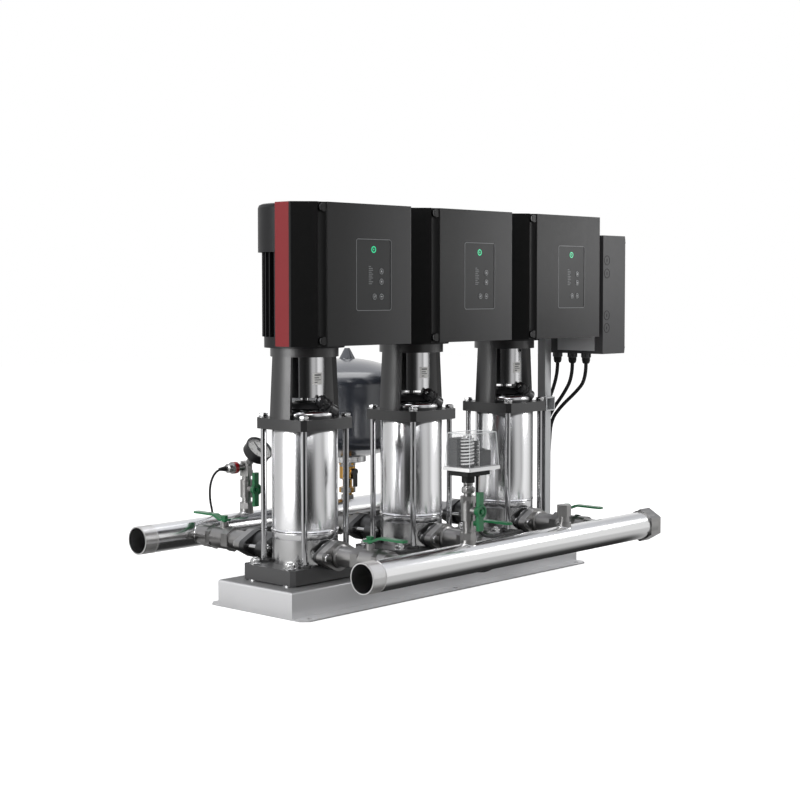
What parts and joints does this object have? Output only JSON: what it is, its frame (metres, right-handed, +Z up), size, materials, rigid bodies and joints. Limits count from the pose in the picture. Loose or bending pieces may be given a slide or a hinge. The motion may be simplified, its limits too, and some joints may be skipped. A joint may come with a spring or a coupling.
{
  "type": "booster pump set",
  "caption": "Booster pump set with three vertical multistage pumps, drive boxes, valves, manifolds, diaphragm tank and controls on a common base",
  "frame": {"origin": "on the floor plane, in the middle of the base's anchor hole pattern", "axes": "+X along the row of pumps towards the control enclosure, +Y from the suction manifold to the discharge manifold, +Z up"},
  "size_m": [1.0527, 0.8375, 0.806],
  "materials": {
    "base_grey": "satin",
    "black_iron": "satin",
    "polished_steel": "polished",
    "satin_steel": "satin",
    "motor_black": "satin",
    "cover_black": "satin",
    "band_red": "satin",
    "nickel": "satin",
    "zinc": "satin",
    "handle_green": "satin",
    "handle_black": "satin",
    "brass": "satin",
    "tank_blue": "gloss",
    "dial_white": "satin",
    "clear_cover": "clear",
    "enclosure_grey": "satin",
    "post_grey": "satin",
    "cable_black": "matte",
    "key_grey": "satin"
  },
  "bodies": {
    "root": {"base_frame": "base_grey", "branch_fittings": "nickel", "chamber_stacks": "satin_steel", "control_enclosure": "enclosure_grey", "coupling_guards": "satin_steel", "diaphragm_tank": "tank_blue", "discharge_manifold": "satin_steel", "drive_covers": "cover_black", "fan_cowls": "motor_black", "fasteners": "zinc", "foot_plates": "black_iron", "instrument_valves": "nickel", "motor_housings": "motor_black", "motor_stools": "black_iron", "outer_sleeves": "polished_steel", "oval_flanges": "black_iron", "port_casings": "polished_steel", "pressure_gauge": "handle_black", "pressure_switch": "dial_white", "pressure_transmitter": "nickel", "pump_heads": "satin_steel", "side_bands": "band_red", "suction_manifold": "satin_steel", "supply_cable_1": "cable_black", "supply_cable_2": "cable_black", "supply_cable_3": "cable_black", "support_post": "post_grey", "switch_cable": "cable_black", "switch_cover": "clear_cover", "transmitter_cable": "cable_black"},
    "breaker_toggle": {"breaker_toggle": "handle_black"},
    "check_disc_1": {"check_disc_1": "satin_steel"},
    "check_disc_2": {"check_disc_2": "satin_steel"},
    "check_disc_3": {"check_disc_3": "satin_steel"},
    "discharge_lever_1": {"discharge_lever_1": "handle_green"},
    "discharge_lever_2": {"discharge_lever_2": "handle_green"},
    "discharge_lever_3": {"discharge_lever_3": "handle_green"},
    "enclosure_window": {"enclosure_window": "clear_cover"},
    "gauge_cock_handle": {"gauge_cock_handle": "handle_green"},
    "gauge_pointer": {"gauge_pointer": "handle_black"},
    "key_1_1": {"key_1_1": "key_grey"},
    "key_1_2": {"key_1_2": "key_grey"},
    "key_1_3": {"key_1_3": "key_grey"},
    "key_1_4": {"key_1_4": "key_grey"},
    "key_2_1": {"key_2_1": "key_grey"},
    "key_2_2": {"key_2_2": "key_grey"},
    "key_2_3": {"key_2_3": "key_grey"},
    "key_2_4": {"key_2_4": "key_grey"},
    "key_3_1": {"key_3_1": "key_grey"},
    "key_3_2": {"key_3_2": "key_grey"},
    "key_3_3": {"key_3_3": "key_grey"},
    "key_3_4": {"key_3_4": "key_grey"},
    "pump_rotor_1": {"pump_rotor_1": "satin_steel"},
    "pump_rotor_2": {"pump_rotor_2": "satin_steel"},
    "pump_rotor_3": {"pump_rotor_3": "satin_steel"},
    "suction_lever_1": {"suction_lever_1": "handle_green"},
    "suction_lever_2": {"suction_lever_2": "handle_green"},
    "suction_lever_3": {"suction_lever_3": "handle_green"},
    "switch_cock_handle": {"switch_cock_handle": "handle_green"},
    "tank_valve_handle": {"tank_valve_handle": "handle_black"}
  },
  "joints": [
    {"name": "pump_spin_1", "type": "hinge", "parent": "root", "child": "pump_rotor_1", "pos_m": [-0.32, 0, 0.4], "axis": [0, 0, 1], "continuous": true},
    {"name": "suction_valve_1", "type": "hinge", "parent": "root", "child": "suction_lever_1", "pos_m": [-0.32, -0.182, 0.1075], "axis": [0, 0, 1], "range_deg": [0, 90]},
    {"name": "discharge_valve_1", "type": "hinge", "parent": "root", "child": "discharge_lever_1", "pos_m": [-0.32, 0.247, 0.1075], "axis": [0, 0, 1], "range_deg": [0, 90]},
    {"name": "check_valve_1", "type": "slide", "parent": "root", "child": "check_disc_1", "axis": [0, 1, 0], "range_m": [0, 0.008], "stiffness_N_per_m": 40, "springref_m": -0.003},
    {"name": "key_press_1_1", "type": "slide", "parent": "root", "child": "key_1_1", "axis": [0, 1, 0], "range_m": [0, 0.0006], "stiffness_N_per_m": 800, "springref_m": -0.0005},
    {"name": "key_press_1_2", "type": "slide", "parent": "root", "child": "key_1_2", "axis": [0, 1, 0], "range_m": [0, 0.0006], "stiffness_N_per_m": 800, "springref_m": -0.0005},
    {"name": "key_press_1_3", "type": "slide", "parent": "root", "child": "key_1_3", "axis": [0, 1, 0], "range_m": [0, 0.0006], "stiffness_N_per_m": 800, "springref_m": -0.0005},
    {"name": "key_press_1_4", "type": "slide", "parent": "root", "child": "key_1_4", "axis": [0, 1, 0], "range_m": [0, 0.0006], "stiffness_N_per_m": 800, "springref_m": -0.0005},
    {"name": "pump_spin_2", "type": "hinge", "parent": "root", "child": "pump_rotor_2", "pos_m": [0, 0, 0.4], "axis": [0, 0, 1], "continuous": true},
    {"name": "suction_valve_2", "type": "hinge", "parent": "root", "child": "suction_lever_2", "pos_m": [0, -0.182, 0.1075], "axis": [0, 0, 1], "range_deg": [0, 90]},
    {"name": "discharge_valve_2", "type": "hinge", "parent": "root", "child": "discharge_lever_2", "pos_m": [0, 0.247, 0.1075], "axis": [0, 0, 1], "range_deg": [0, 90]},
    {"name": "check_valve_2", "type": "slide", "parent": "root", "child": "check_disc_2", "axis": [0, 1, 0], "range_m": [0, 0.008], "stiffness_N_per_m": 40, "springref_m": -0.003},
    {"name": "key_press_2_1", "type": "slide", "parent": "root", "child": "key_2_1", "axis": [0, 1, 0], "range_m": [0, 0.0006], "stiffness_N_per_m": 800, "springref_m": -0.0005},
    {"name": "key_press_2_2", "type": "slide", "parent": "root", "child": "key_2_2", "axis": [0, 1, 0], "range_m": [0, 0.0006], "stiffness_N_per_m": 800, "springref_m": -0.0005},
    {"name": "key_press_2_3", "type": "slide", "parent": "root", "child": "key_2_3", "axis": [0, 1, 0], "range_m": [0, 0.0006], "stiffness_N_per_m": 800, "springref_m": -0.0005},
    {"name": "key_press_2_4", "type": "slide", "parent": "root", "child": "key_2_4", "axis": [0, 1, 0], "range_m": [0, 0.0006], "stiffness_N_per_m": 800, "springref_m": -0.0005},
    {"name": "pump_spin_3", "type": "hinge", "parent": "root", "child": "pump_rotor_3", "pos_m": [0.32, 0, 0.4], "axis": [0, 0, 1], "continuous": true},
    {"name": "suction_valve_3", "type": "hinge", "parent": "root", "child": "suction_lever_3", "pos_m": [0.32, -0.182, 0.1075], "axis": [0, 0, 1], "range_deg": [0, 90]},
    {"name": "discharge_valve_3", "type": "hinge", "parent": "root", "child": "discharge_lever_3", "pos_m": [0.32, 0.247, 0.1075], "axis": [0, 0, 1], "range_deg": [0, 90]},
    {"name": "check_valve_3", "type": "slide", "parent": "root", "child": "check_disc_3", "axis": [0, 1, 0], "range_m": [0, 0.008], "stiffness_N_per_m": 40, "springref_m": -0.003},
    {"name": "key_press_3_1", "type": "slide", "parent": "root", "child": "key_3_1", "axis": [0, 1, 0], "range_m": [0, 0.0006], "stiffness_N_per_m": 800, "springref_m": -0.0005},
    {"name": "key_press_3_2", "type": "slide", "parent": "root", "child": "key_3_2", "axis": [0, 1, 0], "range_m": [0, 0.0006], "stiffness_N_per_m": 800, "springref_m": -0.0005},
    {"name": "key_press_3_3", "type": "slide", "parent": "root", "child": "key_3_3", "axis": [0, 1, 0], "range_m": [0, 0.0006], "stiffness_N_per_m": 800, "springref_m": -0.0005},
    {"name": "key_press_3_4", "type": "slide", "parent": "root", "child": "key_3_4", "axis": [0, 1, 0], "range_m": [0, 0.0006], "stiffness_N_per_m": 800, "springref_m": -0.0005},
    {"name": "switch_cock_turn", "type": "hinge", "parent": "root", "child": "switch_cock_handle", "pos_m": [-0.171, -0.306, 0.203], "axis": [0, 1, 0], "range_deg": [0, 90]},
    {"name": "gauge_cock_turn", "type": "hinge", "parent": "root", "child": "gauge_cock_handle", "pos_m": [-0.163, 0.352, 0.19], "axis": [0, 1, 0], "range_deg": [0, 90]},
    {"name": "tank_valve_turn", "type": "hinge", "parent": "root", "child": "tank_valve_handle", "pos_m": [0.16, 0.352, 0.202], "axis": [0, 1, 0], "range_deg": [0, 90]},
    {"name": "pointer_swing", "type": "hinge", "parent": "root", "child": "gauge_pointer", "pos_m": [-0.163, 0.31099, 0.28051], "axis": [0, -0.7071, 0.7071], "range_deg": [-270, 0]},
    {"name": "breaker_switch", "type": "hinge", "parent": "root", "child": "breaker_toggle", "pos_m": [0.518, -0.1105, 0.6225], "axis": [0, 1, 0], "range_deg": [0, 50]},
    {"name": "window_hinge", "type": "hinge", "parent": "root", "child": "enclosure_window", "pos_m": [0.5528, -0.0565, 0.622], "axis": [0, 0, 1], "range_deg": [0, 110]}
  ]
}
